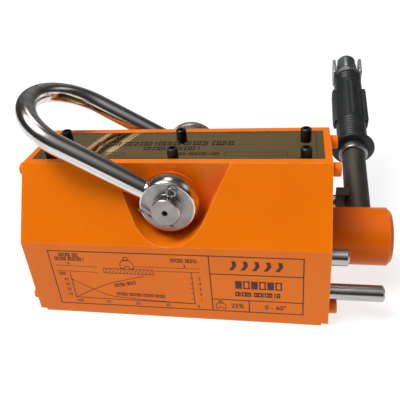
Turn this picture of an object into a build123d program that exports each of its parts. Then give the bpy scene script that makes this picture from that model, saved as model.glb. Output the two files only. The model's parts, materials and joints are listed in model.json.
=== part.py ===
from build123d import *
import os
from math import asin, atan2, cos, hypot, pi, radians, sin, sqrt, tan

os.makedirs("parts", exist_ok=True)

# Lifting magnet, millimetres. The origin is the middle of the lower pole face, +Z is up, the switching
# lever is at the +X end and the side with the printed panel faces -Y.

FRONT = -1
REAR = 1
LEFT = -1
RIGHT = 1

# Body
LENGTH = 225.0
WIDTH = 122.0
HEIGHT = 117.0
KNEE_Z = 66.4
TOP_WIDTH = 60.0
PLATE_T = 5.0
PLATE_LIFT = 2.0
BODY_END = LENGTH / 2
BLOCK_END = BODY_END - PLATE_T
HALF_WIDTH = WIDTH / 2

# Magnetic circuit: a turning magnet in the bore and fixed magnets above it in the middle gap
GAP = 14.0
ROTOR_Z = 38.1
ROTOR_R = 31.0
BORE_R = 31.6
ROTOR_END = 96.0
ROTOR_CAP_T = 8.0
ROTOR_SLOT = 16.0
ROTOR_MAGNET = (16.0, 54.0, 47.7)
ROTOR_SCREW_X = 18.0
ROTOR_SCREW_Y = 12.0
ROTOR_SCREW_L = 20.0
FIXED_MAGNET = (45.0, GAP, 32.0)
FIXED_MAGNET_BOTTOM = 71.0
FIXED_MAGNET_START = 12.0
MAGNET_PITCH = 46.5

# Name plate recess and set screws on the top
RECESS_DEPTH = 1.2
RECESS_WIDTH = 47.8
NAMEPLATE_T = 1.0
NAMEPLATE_PLAY = 0.2
SET_SCREW_D = 8.0
SET_SCREW_L = 20.0
SET_SCREW_TOP = 122.4
SET_SCREW_X = 95.0
SET_SCREW_Y = 16.5
SET_SCREW_HEX = 4.0
SET_SCREW_CHAMFER = 0.6

# Shackle, its pin and the pockets that its eyes turn in
PIN_Z = 91.5
PIN_D = 21.0
PIN_FRONT = 56.3
PIN_CHAMFER = 0.8
PIN_HEAD_D = 44.0
PIN_HEAD_START = 49.4
PIN_HEAD_T = 5.0
PIN_HEAD_ROUND = 1.5
CENTRE_DRILL_D = 4.4
CENTRE_DRILL_DEPTH = 5.0
POCKET_FLOOR = 30.0
POCKET_Z = 94.0
POCKET_R = 28.0
POCKET_SIDE = 28.0
BOSS_D = 37.0
BOSS_T = 2.6
EYE_Y = 41.0
EYE_T = 16.0
EYE_D = 44.0
EYE_ROUND = 2.0
ROD_D = 15.4
BOW_R = 41.2
BOW_CENTRE = 85.0
SHACKLE_TILT = 30.8
LEG_START = 13.0
COTTER_D = 3.2
COTTER_Y = 52.2
COTTER_TILT = 20.0
COTTER_RING_AT = 15.2
COTTER_RING_R = 3.0
COTTER_WIRE_D = 1.8
COTTER_BEND_AT = 12.1
COTTER_LEGS = ((141.0, 20.0), (-15.0, 8.5))

# Fits
RUNNING = 0.06
CLEAR = 0.3

# Shaft, hub and end screws
SHAFT_D = 22.0
BUSH_D = 30.0
BUSH_FLANGE_D = 40.0
WASHER_T = 2.4
WASHER_D = 46.0
HUB_D = 45.0
HUB_END = 159.6
HUB_CHAMFER = 3.0
HUB_SEAT = 153.0
HUB_SEAT_D = 26.4
HUB_START = BODY_END + CLEAR + WASHER_T
HUB_SCREW_D = 8.0
HUB_SCREW_TIP = 145.0
HUB_SCREW_HEAD_D = 12.8
HUB_SCREW_HEX = 6.0
HUB_SCREW_CHAMFER = 0.6
HUB_WASHER_T = 2.0
END_SCREW_D = 6.0
END_SCREW_HEAD_D = 10.0
END_SCREW_L = 14.0
END_SCREW_HEX = 5.0
END_SCREW_CHAMFER = 0.5
END_SCREW_TOP = (22.5, 108.3)
END_SCREW_LOW = (51.5, 10.5)

# Lever and its latch, measured along the lever from the axis of the shaft
LEVER_X = 137.8
LEVER_UP = 19.0
LEVER_D = 20.0
LEVER_SEAT = 12.5
LEVER_END = 203.0
SPIGOT_D = 12.0
SPIGOT_DEPTH = 9.0
LEVER_BORE_D = 8.4
LEVER_BORE_START = 30.0
SPRING_SEAT = 175.0
SPRING_BORE_D = 14.0
FERRULE_START = 87.5
FERRULE_D = 25.0
FERRULE_CHAMFER = 1.0
GRIP_START = 95.0
GRIP_END = 197.0
GRIP_D = 26.8
FLANGE_T = 3.6
FLANGE_D = 37.6
WING_SPAN = 32.0
WING_HEIGHT = 12.0
WING_START = 128.0
WING_END = 176.0
GUARD_D = 25.8
GUARD_SPAN = 28.0
GUARD_BLADE_T = 2.8
GUARD_BLADE_W = 19.0
GUARD_END = 221.0
KEY_START = 34.6
KEY_END = 43.0
KEY_WIDTH = 16.8
KEY_SIDE_X = 120.8
KEY_LAP = 3.0
KEY_WALL = 2.0
KEY_PIN_D = 4.0
KEY_PIN_AT = 38.8
LATCH_IN = 2.0
LATCH_OUT = 8.0
PUSH_ROD_D = 6.0
PUSH_ROD_START = 33.0
BUTTON_START = 205.3
BUTTON_D = 20.4
BUTTON_RIM_D = 21.4
BUTTON_RIM_T = 2.0
BUTTON_STRAIGHT = 16.5
BUTTON_FLAT = 0.6
BUTTON_STEM_D = 13.8
BUTTON_STEM_START = 188.0
SPRING_WIRE_D = 1.2
SPRING_D = 10.0
SPRING_TURNS = 5

# Stop pins beside the lever
STOP_D = 12.0
STOP_DEPTH = 14.0
STOP_CHAMFER = 1.2
STOP_ON = (-48.3, 22.0)
STOP_ON_END = 151.0
CATCH = (-48.3, 53.0)
CATCH_END = 125.0
STOP_OFF_END = 141.0
STOP_OFF_ALONG = 48.0
STOP_OFF_BESIDE = (LEVER_D + STOP_D) / 2 + CLEAR / 2

LEVER_COS = cos(radians(LEVER_UP))
LEVER_SIN = sin(radians(LEVER_UP))
# Local Z runs up the lever and local X is the body's X
lever_plane = Plane(origin=(LEVER_X, 0, ROTOR_Z), x_dir=(1, 0, 0), z_dir=(0, LEVER_COS, LEVER_SIN))
lever_axis = Axis((0, 0, 0), (0, LEVER_COS, LEVER_SIN))
# Local X of the rotor points the way that the lever does
rotor_plane = Plane(origin=(0, 0, ROTOR_Z), x_dir=(0, LEVER_COS, LEVER_SIN), z_dir=(1, 0, 0))
# Local X is the pin's axis and local Y runs from the pin up the shackle
tilt = radians(SHACKLE_TILT)
shackle_plane = Plane(origin=(0, 0, PIN_Z), x_dir=(0, 1, 0), z_dir=(sin(tilt), 0, cos(tilt)))
# Local Z runs up the split pin, which leans towards the lever
lean = radians(COTTER_TILT)
cotter_plane = Plane(
    origin=(0, -COTTER_Y, PIN_Z),
    x_dir=(cos(lean), 0, -sin(lean)),
    z_dir=(sin(lean), 0, cos(lean)),
)
# The lever lies on the rear stop pin while the magnet is off
STOP_OFF = (
    STOP_OFF_ALONG * LEVER_COS + STOP_OFF_BESIDE * LEVER_SIN,
    ROTOR_Z + STOP_OFF_ALONG * LEVER_SIN - STOP_OFF_BESIDE * LEVER_COS,
)
END_SCREW_PLACES = [(sy * y, z) for y, z in (END_SCREW_TOP, END_SCREW_LOW) for sy in (FRONT, REAR)]
SET_SCREW_PLACES = [(x, sy * SET_SCREW_Y) for x in (-SET_SCREW_X, 0, SET_SCREW_X) for sy in (FRONT, REAR)]


def section(bottom):
    """Corners of the body's outline across its length: upright sides up to the knee, then sloping faces."""
    top = TOP_WIDTH / 2
    right = [(HALF_WIDTH, bottom), (HALF_WIDTH, KNEE_Z), (top, HEIGHT)]
    left = [(-y, z) for y, z in reversed(right)]
    return right + left


def make_pole_block(side):
    """One soft iron half of the body, with half of the bore and the pocket for an eye of the shackle."""
    with BuildPart() as block:
        with BuildSketch(Plane.YZ.offset(-BLOCK_END)):
            Polygon(*section(0), align=None)
            with Locations((side * (GAP / 2 - WIDTH / 2), HEIGHT / 2)):
                Rectangle(WIDTH, 2 * HEIGHT, mode=Mode.SUBTRACT)
            with Locations((0, ROTOR_Z)):
                Circle(BORE_R, mode=Mode.SUBTRACT)
            with Locations((0, HEIGHT)):
                Rectangle(RECESS_WIDTH, 2 * RECESS_DEPTH, mode=Mode.SUBTRACT)
        extrude(amount=2 * BLOCK_END)
        # Pocket: a round bottom below the pin and two straight sides that open upwards
        spread = radians(POCKET_SIDE)
        side_x = POCKET_R * cos(spread)
        side_z = POCKET_Z - POCKET_R * sin(spread)
        mouth_z = HEIGHT + POCKET_R
        mouth_x = side_x + (mouth_z - side_z) * tan(spread)
        with BuildSketch(Plane.XZ.offset(-side * POCKET_FLOOR)):
            with BuildLine():
                ThreePointArc((-side_x, side_z), (0, POCKET_Z - POCKET_R), (side_x, side_z))
                Polyline((side_x, side_z), (mouth_x, mouth_z), (-mouth_x, mouth_z), (-side_x, side_z))
            make_face()
        extrude(amount=-side * WIDTH, mode=Mode.SUBTRACT)
        # Raised face that the eye runs against
        with BuildSketch(Plane.XZ.offset(-side * POCKET_FLOOR)):
            with Locations((0, PIN_Z)):
                Circle(BOSS_D / 2)
        extrude(amount=-side * BOSS_T)
        with BuildSketch(Plane.XZ):
            with Locations((0, PIN_Z)):
                Circle(PIN_D / 2)
        extrude(amount=-side * WIDTH, mode=Mode.SUBTRACT)
        with BuildSketch(Plane.XY.offset(SET_SCREW_TOP - SET_SCREW_L)):
            with Locations(*SET_SCREW_PLACES):
                Circle(SET_SCREW_D / 2)
        extrude(amount=SET_SCREW_L, mode=Mode.SUBTRACT)
        for end in (LEFT, RIGHT):
            with BuildSketch(Plane.YZ.offset(end * BODY_END)):
                with Locations(*END_SCREW_PLACES):
                    Circle(END_SCREW_D / 2)
            extrude(amount=-end * END_SCREW_L, mode=Mode.SUBTRACT)
        with BuildSketch(Plane.YZ.offset(BODY_END)):
            with Locations(STOP_ON, CATCH, STOP_OFF):
                Circle(STOP_D / 2)
        extrude(amount=-STOP_DEPTH, mode=Mode.SUBTRACT)
    return block


def make_end_plate(end, pins):
    """Steel plate that closes one end and carries the bush of the shaft."""
    with BuildPart() as plate:
        with BuildSketch(Plane.YZ.offset(end * BLOCK_END)):
            Polygon(*section(PLATE_LIFT), align=None)
            with Locations((0, ROTOR_Z)):
                Circle(BUSH_D / 2, mode=Mode.SUBTRACT)
            with Locations(*END_SCREW_PLACES):
                Circle(END_SCREW_D / 2 + CLEAR / 2, mode=Mode.SUBTRACT)
            if pins:
                with Locations(*pins):
                    Circle(STOP_D / 2, mode=Mode.SUBTRACT)
        extrude(amount=end * PLATE_T)
    return plate


def make_bush(end):
    """Bronze bush, pressed into the end plate from inside, with a flange that faces the rotor."""
    flange_start = ROTOR_END + ROTOR_CAP_T + CLEAR
    with BuildPart() as bush:
        with BuildSketch(Plane.YZ.offset(end * flange_start)):
            with Locations((0, ROTOR_Z)):
                Circle(BUSH_FLANGE_D / 2)
        extrude(amount=end * (BLOCK_END - flange_start))
        with BuildSketch(Plane.YZ.offset(end * flange_start)):
            with Locations((0, ROTOR_Z)):
                Circle(BUSH_D / 2)
        extrude(amount=end * (BODY_END - flange_start))
        with BuildSketch(Plane.YZ.offset(end * flange_start)):
            with Locations((0, ROTOR_Z)):
                Circle(SHAFT_D / 2 + RUNNING)
        extrude(amount=end * (BODY_END - flange_start), mode=Mode.SUBTRACT)
    return bush


def make_end_screws(end):
    """The four socket head screws that hold one end plate."""
    with BuildPart() as screws:
        with BuildSketch(Plane.YZ.offset(end * BODY_END)):
            with Locations(*END_SCREW_PLACES):
                Circle(END_SCREW_HEAD_D / 2)
        extrude(amount=end * END_SCREW_D)
        chamfer(screws.faces().group_by(Axis.X)[-1 if end == RIGHT else 0].edges(), END_SCREW_CHAMFER)
        with BuildSketch(Plane.YZ.offset(end * BODY_END)):
            with Locations(*END_SCREW_PLACES):
                Circle(END_SCREW_D / 2)
        extrude(amount=-end * END_SCREW_L)
        with BuildSketch(Plane.YZ.offset(end * (BODY_END + END_SCREW_D))):
            with Locations(*END_SCREW_PLACES):
                RegularPolygon(END_SCREW_HEX / 2, 6, major_radius=False)
        extrude(amount=-end * END_SCREW_D / 2, mode=Mode.SUBTRACT)
    return screws


def make_stop_pin(place, end_x):
    """Polished pin, pressed through the right end plate, with a chamfered tip."""
    with BuildPart() as pin:
        with BuildSketch(Plane.YZ.offset(BODY_END - STOP_DEPTH)):
            with Locations(place):
                Circle(STOP_D / 2)
        extrude(amount=end_x - BODY_END + STOP_DEPTH)
        chamfer(pin.faces().sort_by(Axis.X)[-1].edges(), STOP_CHAMFER)
    return pin


def make_rotor_pole(way):
    """One soft iron segment of the rotor, beside the slot that holds its magnets."""
    with BuildPart() as pole:
        with BuildSketch(rotor_plane.offset(-ROTOR_END)):
            Circle(ROTOR_R)
            with Locations((way * (ROTOR_SLOT / 2 - ROTOR_R), 0)):
                Rectangle(2 * ROTOR_R, 2 * ROTOR_R, mode=Mode.SUBTRACT)
        extrude(amount=2 * ROTOR_END)
        for end in (LEFT, RIGHT):
            with BuildSketch(rotor_plane.offset(end * ROTOR_END)):
                with GridLocations(2 * ROTOR_SCREW_X, 2 * ROTOR_SCREW_Y, 2, 2):
                    Circle(END_SCREW_D / 2)
            extrude(amount=-end * (ROTOR_SCREW_L - ROTOR_CAP_T / 2), mode=Mode.SUBTRACT)
    return pole


def make_rotor_cap(end):
    """Stainless cap on one end of the rotor, bored for its stub of shaft."""
    with BuildPart() as cap:
        with BuildSketch(rotor_plane.offset(end * ROTOR_END)):
            Circle(ROTOR_R)
            Circle(SHAFT_D / 2, mode=Mode.SUBTRACT)
            with GridLocations(2 * ROTOR_SCREW_X, 2 * ROTOR_SCREW_Y, 2, 2):
                Circle(END_SCREW_D / 2, mode=Mode.SUBTRACT)
        extrude(amount=end * ROTOR_CAP_T)
        with BuildSketch(rotor_plane.offset(end * (ROTOR_END + ROTOR_CAP_T))):
            with GridLocations(2 * ROTOR_SCREW_X, 2 * ROTOR_SCREW_Y, 2, 2):
                Circle(END_SCREW_HEAD_D / 2)
        extrude(amount=-end * ROTOR_CAP_T / 2, mode=Mode.SUBTRACT)
    return cap


# Housing

pole_block_front = make_pole_block(FRONT)
pole_block_front.part.label = "pole_block_front"
export_step(pole_block_front.part, "parts/pole_block_front.step")

pole_block_rear = make_pole_block(REAR)
pole_block_rear.part.label = "pole_block_rear"
export_step(pole_block_rear.part, "parts/pole_block_rear.step")

# Brass strip that closes the gap between the pole faces, under the bore
with BuildPart() as pole_spacer:
    strip_top = ROTOR_Z - sqrt(BORE_R**2 - (GAP / 2) ** 2)
    with BuildSketch(Plane.YZ.offset(-BLOCK_END)):
        with Locations((0, strip_top / 2)):
            Rectangle(GAP, strip_top)
        with Locations((0, ROTOR_Z)):
            Circle(BORE_R, mode=Mode.SUBTRACT)
    extrude(amount=2 * BLOCK_END)
pole_spacer.part.label = "pole_spacer"
export_step(pole_spacer.part, "parts/pole_spacer.step")

# Two magnets on each side of the shackle's pin, in the gap above the bore
with BuildPart() as fixed_magnets:
    first = FIXED_MAGNET_START + FIXED_MAGNET[0] / 2
    magnet_places = [(end * (first + k * MAGNET_PITCH), 0) for end in (LEFT, RIGHT) for k in range(2)]
    with BuildSketch(Plane.XY.offset(FIXED_MAGNET_BOTTOM)):
        with Locations(*magnet_places):
            Rectangle(FIXED_MAGNET[0], FIXED_MAGNET[1])
    extrude(amount=FIXED_MAGNET[2])
fixed_magnets.part.label = "fixed_magnets"
export_step(fixed_magnets.part, "parts/fixed_magnets.step")

# Brass bar that closes the gap above the magnets
with BuildPart() as top_spacer:
    bar_bottom = FIXED_MAGNET_BOTTOM + FIXED_MAGNET[2]
    with BuildSketch(Plane.XY.offset(bar_bottom)):
        Rectangle(2 * BLOCK_END, GAP)
    extrude(amount=HEIGHT - RECESS_DEPTH - bar_bottom)
top_spacer.part.label = "top_spacer"
export_step(top_spacer.part, "parts/top_spacer.step")

with BuildPart() as nameplate:
    with BuildSketch(Plane.XY.offset(HEIGHT - RECESS_DEPTH)):
        Rectangle(2 * (BLOCK_END - NAMEPLATE_PLAY), RECESS_WIDTH - 2 * NAMEPLATE_PLAY)
        with Locations(*SET_SCREW_PLACES):
            Circle(SET_SCREW_D / 2 + NAMEPLATE_PLAY, mode=Mode.SUBTRACT)
    extrude(amount=NAMEPLATE_T)
nameplate.part.label = "nameplate"
export_step(nameplate.part, "parts/nameplate.step")

with BuildPart() as set_screws:
    with BuildSketch(Plane.XY.offset(SET_SCREW_TOP - SET_SCREW_L)):
        with Locations(*SET_SCREW_PLACES):
            Circle(SET_SCREW_D / 2)
    extrude(amount=SET_SCREW_L)
    chamfer(set_screws.faces().group_by(Axis.Z)[-1].edges(), SET_SCREW_CHAMFER)
    with BuildSketch(Plane.XY.offset(SET_SCREW_TOP)):
        with Locations(*SET_SCREW_PLACES):
            RegularPolygon(SET_SCREW_HEX / 2, 6, major_radius=False)
    extrude(amount=-SET_SCREW_HEX, mode=Mode.SUBTRACT)
set_screws.part.label = "set_screws"
export_step(set_screws.part, "parts/set_screws.step")

end_plate_left = make_end_plate(LEFT, [])
end_plate_left.part.label = "end_plate_left"
export_step(end_plate_left.part, "parts/end_plate_left.step")

end_plate_right = make_end_plate(RIGHT, [STOP_ON, CATCH, STOP_OFF])
end_plate_right.part.label = "end_plate_right"
export_step(end_plate_right.part, "parts/end_plate_right.step")

end_screws_left = make_end_screws(LEFT)
end_screws_left.part.label = "end_screws_left"
export_step(end_screws_left.part, "parts/end_screws_left.step")

end_screws_right = make_end_screws(RIGHT)
end_screws_right.part.label = "end_screws_right"
export_step(end_screws_right.part, "parts/end_screws_right.step")

bush_left = make_bush(LEFT)
bush_left.part.label = "bush_left"
export_step(bush_left.part, "parts/bush_left.step")

bush_right = make_bush(RIGHT)
bush_right.part.label = "bush_right"
export_step(bush_right.part, "parts/bush_right.step")

stop_pin_on = make_stop_pin(STOP_ON, STOP_ON_END)
stop_pin_on.part.label = "stop_pin_on"
export_step(stop_pin_on.part, "parts/stop_pin_on.step")

catch_pin = make_stop_pin(CATCH, CATCH_END)
catch_pin.part.label = "catch_pin"
export_step(catch_pin.part, "parts/catch_pin.step")

stop_pin_off = make_stop_pin(STOP_OFF, STOP_OFF_END)
stop_pin_off.part.label = "stop_pin_off"
export_step(stop_pin_off.part, "parts/stop_pin_off.step")

# One shaft right through both pole blocks, with a head behind the rear eye and both ends centre drilled
with BuildPart() as shackle_pin:
    pin_back = PIN_HEAD_START + PIN_HEAD_T
    with BuildSketch(Plane.XZ.offset(PIN_FRONT)):
        with Locations((0, PIN_Z)):
            Circle(PIN_D / 2)
    extrude(amount=-(PIN_FRONT + PIN_HEAD_START))
    chamfer(shackle_pin.faces().sort_by(Axis.Y)[0].edges(), PIN_CHAMFER)
    with BuildSketch(Plane.XZ.offset(-PIN_HEAD_START)):
        with Locations((0, PIN_Z)):
            Circle(PIN_HEAD_D / 2)
    extrude(amount=-PIN_HEAD_T)
    fillet(shackle_pin.faces().sort_by(Axis.Y)[-1].edges(), PIN_HEAD_ROUND)
    for side, end_y in ((FRONT, PIN_FRONT), (REAR, pin_back)):
        with BuildSketch(Plane.XZ.offset(-side * end_y)):
            with Locations((0, PIN_Z)):
                Circle(CENTRE_DRILL_D / 2)
        extrude(amount=side * CENTRE_DRILL_DEPTH, mode=Mode.SUBTRACT)
    with BuildSketch(cotter_plane):
        Circle(COTTER_D / 2)
    extrude(amount=PIN_D, both=True, mode=Mode.SUBTRACT)
shackle_pin.part.label = "shackle_pin"
export_step(shackle_pin.part, "parts/shackle_pin.step")

# Split pin through the front end of the shaft: a ring on top and two legs bent apart below
with BuildPart() as cotter_pin:
    with BuildSketch(cotter_plane.offset(-COTTER_BEND_AT)):
        Circle(COTTER_D / 2)
    extrude(amount=COTTER_BEND_AT + COTTER_RING_AT - COTTER_RING_R)
    ring_centre = cotter_plane.offset(COTTER_RING_AT)
    with BuildSketch(ring_centre):
        with Locations((COTTER_RING_R, 0)):
            Circle(COTTER_WIRE_D / 2)
    revolve(axis=Axis(ring_centre.origin, (0, 1, 0)))
    bend = cotter_plane.offset(-COTTER_BEND_AT).origin
    for angle, leg_length in COTTER_LEGS:
        with BuildSketch(Plane(origin=bend, z_dir=(cos(radians(angle)), 0, sin(radians(angle))))):
            Circle(COTTER_WIRE_D / 2)
        extrude(amount=leg_length)
cotter_pin.part.label = "cotter_pin"
export_step(cotter_pin.part, "parts/cotter_pin.step")

# Shackle: two eyes on the pin, joined by a round rod that bends in a half circle

with BuildPart() as shackle:
    for side in (FRONT, REAR):
        with BuildSketch(Plane.XZ.offset(-side * (EYE_Y - EYE_T / 2))):
            with Locations((0, PIN_Z)):
                Circle(EYE_D / 2)
        extrude(amount=-side * EYE_T)
    fillet(shackle.edges().filter_by(GeomType.CIRCLE), EYE_ROUND)
    # Each leg runs from its eye to the point where it is tangent to the bow
    reach = hypot(EYE_Y, BOW_CENTRE)
    leg_angle = pi - atan2(BOW_CENTRE, EYE_Y) - asin(BOW_R / reach)
    leg_length = sqrt(reach**2 - BOW_R**2)
    leg_x = EYE_Y + leg_length * cos(leg_angle)
    leg_y = leg_length * sin(leg_angle)
    start_x = EYE_Y + LEG_START * cos(leg_angle)
    start_y = LEG_START * sin(leg_angle)
    with BuildLine(shackle_plane) as path:
        Line((start_x, start_y), (leg_x, leg_y))
        ThreePointArc((leg_x, leg_y), (0, BOW_CENTRE + BOW_R), (-leg_x, leg_y))
        Line((-leg_x, leg_y), (-start_x, start_y))
    with BuildSketch(Plane(origin=path.line @ 0, z_dir=path.line % 0)):
        Circle(ROD_D / 2)
    sweep(path=path.line)
    with BuildSketch(Plane.XZ.offset(-WIDTH / 2)):
        with Locations((0, PIN_Z)):
            Circle(PIN_D / 2 + RUNNING)
    extrude(amount=WIDTH, mode=Mode.SUBTRACT)
shackle.part.label = "shackle"
export_step(shackle.part, "parts/shackle.step")

# Rotor

rotor_pole_near = make_rotor_pole(RIGHT)
rotor_pole_near.part.label = "rotor_pole_near"
export_step(rotor_pole_near.part, "parts/rotor_pole_near.step")

rotor_pole_far = make_rotor_pole(LEFT)
rotor_pole_far.part.label = "rotor_pole_far"
export_step(rotor_pole_far.part, "parts/rotor_pole_far.step")

with BuildPart() as rotor_magnets:
    pitch = 2 * ROTOR_END / 4
    for k in range(4):
        with BuildSketch(rotor_plane.offset(-ROTOR_END + k * pitch)):
            Rectangle(ROTOR_MAGNET[0], ROTOR_MAGNET[1])
        extrude(amount=ROTOR_MAGNET[2])
rotor_magnets.part.label = "rotor_magnets"
export_step(rotor_magnets.part, "parts/rotor_magnets.step")

rotor_cap_left = make_rotor_cap(LEFT)
rotor_cap_left.part.label = "rotor_cap_left"
export_step(rotor_cap_left.part, "parts/rotor_cap_left.step")

rotor_cap_right = make_rotor_cap(RIGHT)
rotor_cap_right.part.label = "rotor_cap_right"
export_step(rotor_cap_right.part, "parts/rotor_cap_right.step")

with BuildPart() as shaft_left:
    with BuildSketch(rotor_plane.offset(-ROTOR_END)):
        Circle(SHAFT_D / 2)
    extrude(amount=ROTOR_END - BODY_END + CLEAR)
shaft_left.part.label = "shaft_left"
export_step(shaft_left.part, "parts/shaft_left.step")

# The long shaft has a cross hole for the lever's spigot and a threaded hole for the hub's screw
with BuildPart() as shaft_right:
    with BuildSketch(rotor_plane.offset(ROTOR_END)):
        Circle(SHAFT_D / 2)
    extrude(amount=HUB_SEAT - ROTOR_END)
    with BuildSketch(lever_plane.offset(-SPIGOT_DEPTH)):
        Circle(SPIGOT_D / 2)
    extrude(amount=SHAFT_D, mode=Mode.SUBTRACT)
    with BuildSketch(rotor_plane.offset(HUB_SCREW_TIP)):
        Circle(HUB_SCREW_D / 2)
    extrude(amount=HUB_SEAT - HUB_SCREW_TIP, mode=Mode.SUBTRACT)
shaft_right.part.label = "shaft_right"
export_step(shaft_right.part, "parts/shaft_right.step")

with BuildPart() as rotor_screws:
    for end in (LEFT, RIGHT):
        with BuildSketch(rotor_plane.offset(end * (ROTOR_END + ROTOR_CAP_T))):
            with GridLocations(2 * ROTOR_SCREW_X, 2 * ROTOR_SCREW_Y, 2, 2):
                Circle(END_SCREW_HEAD_D / 2)
        extrude(amount=-end * ROTOR_CAP_T / 2)
        with BuildSketch(rotor_plane.offset(end * (ROTOR_END + ROTOR_CAP_T / 2))):
            with GridLocations(2 * ROTOR_SCREW_X, 2 * ROTOR_SCREW_Y, 2, 2):
                Circle(END_SCREW_D / 2)
        extrude(amount=-end * ROTOR_SCREW_L)
rotor_screws.part.label = "rotor_screws"
export_step(rotor_screws.part, "parts/rotor_screws.step")

with BuildPart() as thrust_washer:
    with BuildSketch(rotor_plane.offset(BODY_END + CLEAR)):
        Circle(WASHER_D / 2)
        Circle(SHAFT_D / 2, mode=Mode.SUBTRACT)
    extrude(amount=WASHER_T)
thrust_washer.part.label = "thrust_washer"
export_step(thrust_washer.part, "parts/thrust_washer.step")

with BuildPart() as hub:
    with BuildSketch(rotor_plane.offset(HUB_START)):
        Circle(HUB_D / 2)
    extrude(amount=HUB_END - HUB_START)
    chamfer(hub.faces().sort_by(Axis.X)[-1].edges(), HUB_CHAMFER)
    with BuildSketch(rotor_plane.offset(HUB_START)):
        Circle(SHAFT_D / 2)
    extrude(amount=HUB_SEAT - HUB_START, mode=Mode.SUBTRACT)
    with BuildSketch(rotor_plane.offset(HUB_SEAT)):
        Circle(HUB_SEAT_D / 2)
    extrude(amount=HUB_END - HUB_SEAT, mode=Mode.SUBTRACT)
    with BuildSketch(lever_plane):
        Circle(SPIGOT_D / 2)
    extrude(amount=LEVER_SEAT, mode=Mode.SUBTRACT)
    with BuildSketch(lever_plane.offset(LEVER_SEAT)):
        Circle(LEVER_D / 2)
    extrude(amount=HUB_D, mode=Mode.SUBTRACT)
hub.part.label = "hub"
export_step(hub.part, "parts/hub.step")

with BuildPart() as hub_washer:
    with BuildSketch(rotor_plane.offset(HUB_SEAT)):
        Circle(HUB_SEAT_D / 2 - CLEAR)
        Circle(HUB_SCREW_D / 2, mode=Mode.SUBTRACT)
    extrude(amount=HUB_WASHER_T)
hub_washer.part.label = "hub_washer"
export_step(hub_washer.part, "parts/hub_washer.step")

with BuildPart() as hub_screw:
    head_start = HUB_SEAT + HUB_WASHER_T
    with BuildSketch(rotor_plane.offset(head_start)):
        Circle(HUB_SCREW_HEAD_D / 2)
    extrude(amount=HUB_END - CLEAR - head_start)
    chamfer(hub_screw.faces().sort_by(Axis.X)[-1].edges(), HUB_SCREW_CHAMFER)
    with BuildSketch(rotor_plane.offset(HUB_SCREW_TIP)):
        Circle(HUB_SCREW_D / 2)
    extrude(amount=head_start - HUB_SCREW_TIP)
    with BuildSketch(rotor_plane.offset(HUB_END)):
        RegularPolygon(HUB_SCREW_HEX / 2, 6, major_radius=False)
    extrude(amount=-HUB_SCREW_D / 2, mode=Mode.SUBTRACT)
hub_screw.part.label = "hub_screw"
export_step(hub_screw.part, "parts/hub_screw.step")

# Lever

with BuildPart() as lever_rod:
    with BuildSketch(lever_plane.offset(LEVER_SEAT)):
        Circle(LEVER_D / 2)
    extrude(amount=LEVER_END - LEVER_SEAT)
    # The spigot goes through the shaft and turns it
    with BuildSketch(lever_plane.offset(-SPIGOT_DEPTH)):
        Circle(SPIGOT_D / 2)
    extrude(amount=SPIGOT_DEPTH + LEVER_SEAT)
    with BuildSketch(lever_plane.offset(LEVER_BORE_START)):
        Circle(LEVER_BORE_D / 2)
    extrude(amount=LEVER_END - LEVER_BORE_START, mode=Mode.SUBTRACT)
    with BuildSketch(lever_plane.offset(SPRING_SEAT)):
        Circle(SPRING_BORE_D / 2)
    extrude(amount=LEVER_END - SPRING_SEAT, mode=Mode.SUBTRACT)
    # Slot that the key's pin slides in, on the side that faces the body
    slot_start = KEY_PIN_AT - LATCH_IN - KEY_PIN_D / 2 - CLEAR
    slot_end = KEY_PIN_AT + LATCH_OUT + KEY_PIN_D / 2 + CLEAR
    with BuildSketch(lever_plane.offset(slot_start)):
        with Locations((-LEVER_D / 2, 0)):
            Rectangle(LEVER_D, KEY_PIN_D + 2 * CLEAR)
    extrude(amount=slot_end - slot_start, mode=Mode.SUBTRACT)
lever_rod.part.label = "lever_rod"
export_step(lever_rod.part, "parts/lever_rod.step")

with BuildPart() as ferrule:
    with BuildSketch(lever_plane.offset(FERRULE_START)):
        Circle(FERRULE_D / 2)
        Circle(LEVER_D / 2, mode=Mode.SUBTRACT)
    extrude(amount=GRIP_START - FERRULE_START)
    chamfer(ferrule.edges().filter_by(GeomType.CIRCLE).group_by(SortBy.LENGTH)[-1], FERRULE_CHAMFER)
ferrule.part.label = "ferrule"
export_step(ferrule.part, "parts/ferrule.step")

# Rubber grip with a hand guard at its foot and a wing on each side
with BuildPart() as grip:
    with BuildSketch(lever_plane.offset(GRIP_START)):
        Circle(GRIP_D / 2)
    extrude(amount=GRIP_END - GRIP_START)
    with BuildSketch(lever_plane.offset(GRIP_START)):
        Circle(FLANGE_D / 2)
    extrude(amount=FLANGE_T)
    with BuildSketch(lever_plane.offset(WING_START)):
        Rectangle(WING_SPAN, WING_HEIGHT)
    extrude(amount=WING_END - WING_START)
    with BuildSketch(lever_plane.offset(GRIP_START)):
        Circle(LEVER_D / 2)
    extrude(amount=GRIP_END - GRIP_START, mode=Mode.SUBTRACT)
grip.part.label = "grip"
export_step(grip.part, "parts/grip.step")

# Steel ring with two blades that stand beside the button
with BuildPart() as button_guard:
    with BuildSketch(lever_plane.offset(GRIP_END)):
        Circle(GUARD_D / 2)
    extrude(amount=LEVER_END - GRIP_END)
    with BuildSketch(lever_plane.offset(GRIP_END)):
        with GridLocations(GUARD_SPAN - GUARD_BLADE_T, 0, 2, 1):
            Rectangle(GUARD_BLADE_T, GUARD_BLADE_W)
    extrude(amount=GUARD_END - GRIP_END)
    with BuildSketch(lever_plane.offset(GRIP_END)):
        Circle(LEVER_D / 2)
    extrude(amount=LEVER_END - GRIP_END, mode=Mode.SUBTRACT)
button_guard.part.label = "button_guard"
export_step(button_guard.part, "parts/button_guard.step")

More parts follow.
